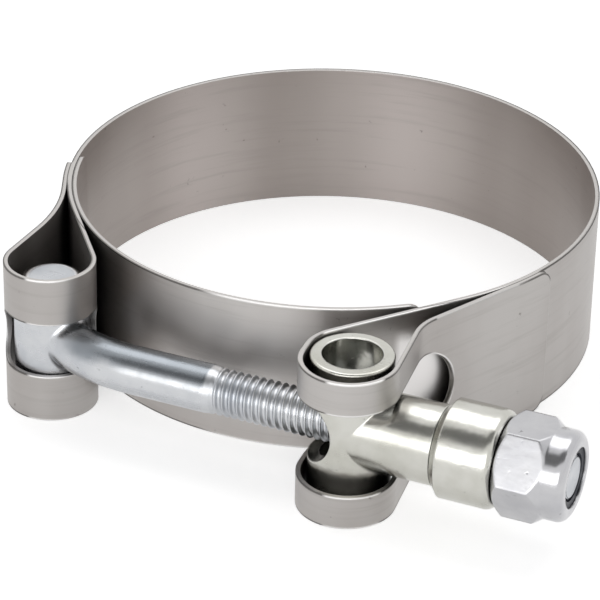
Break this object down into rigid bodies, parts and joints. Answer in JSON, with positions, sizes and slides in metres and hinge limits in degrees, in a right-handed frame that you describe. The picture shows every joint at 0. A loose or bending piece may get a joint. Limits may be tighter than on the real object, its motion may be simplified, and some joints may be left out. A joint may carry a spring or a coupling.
{
  "type": "t-bolt band clamp",
  "caption": "Wide strip hose clamp with folded end loops, an inner bridge, a T-headed bolt, a tubular trunnion, a collar and a lock nut.",
  "frame": {"origin": "centre of the ring at half its height", "axes": "+Z along the ring's axis, +X along the bolt towards the nut, the bolt on the -Y side"},
  "size_m": [0.083, 0.0826, 0.02],
  "materials": {
    "strip_steel": "satin",
    "bolt_zinc": "bright zinc",
    "trunnion_zinc": "bright zinc",
    "nut_zinc": "bright zinc",
    "insert_nylon": "matte"
  },
  "bodies": {
    "band": {"band": "strip_steel", "bridge": "strip_steel"},
    "bolt": {"t_bolt": "bolt_zinc"},
    "trunnion": {"trunnion": "trunnion_zinc"},
    "collar": {"collar": "trunnion_zinc"},
    "nut": {"lock_nut": "nut_zinc", "nylon_insert": "insert_nylon"}
  },
  "joints": [
    {"name": "t_head_pivot", "type": "hinge", "parent": "band", "child": "bolt", "pos_m": [-0.02323, -0.0351, 0], "axis": [0, 0, 1], "range_deg": [-0.8, 0]},
    {"name": "trunnion_slide", "type": "slide", "parent": "bolt", "child": "trunnion", "axis": [1, 0, 0], "range_m": [0, 0.00045]},
    {"name": "collar_slide", "type": "slide", "parent": "bolt", "child": "collar", "axis": [1, 0, 0], "range_m": [0, 0.006]},
    {"name": "nut_turn", "type": "hinge", "parent": "collar", "child": "nut", "pos_m": [0.04345, -0.0397, 0], "axis": [1, 0, 0], "range_deg": [0, 2160]}
  ],
  "couplings": [
    {"joint": "trunnion_slide", "follows": "collar_slide", "ratio": 0.07499},
    {"joint": "nut_turn", "follows": "collar_slide", "rad_per_m": 6283.1}
  ]
}
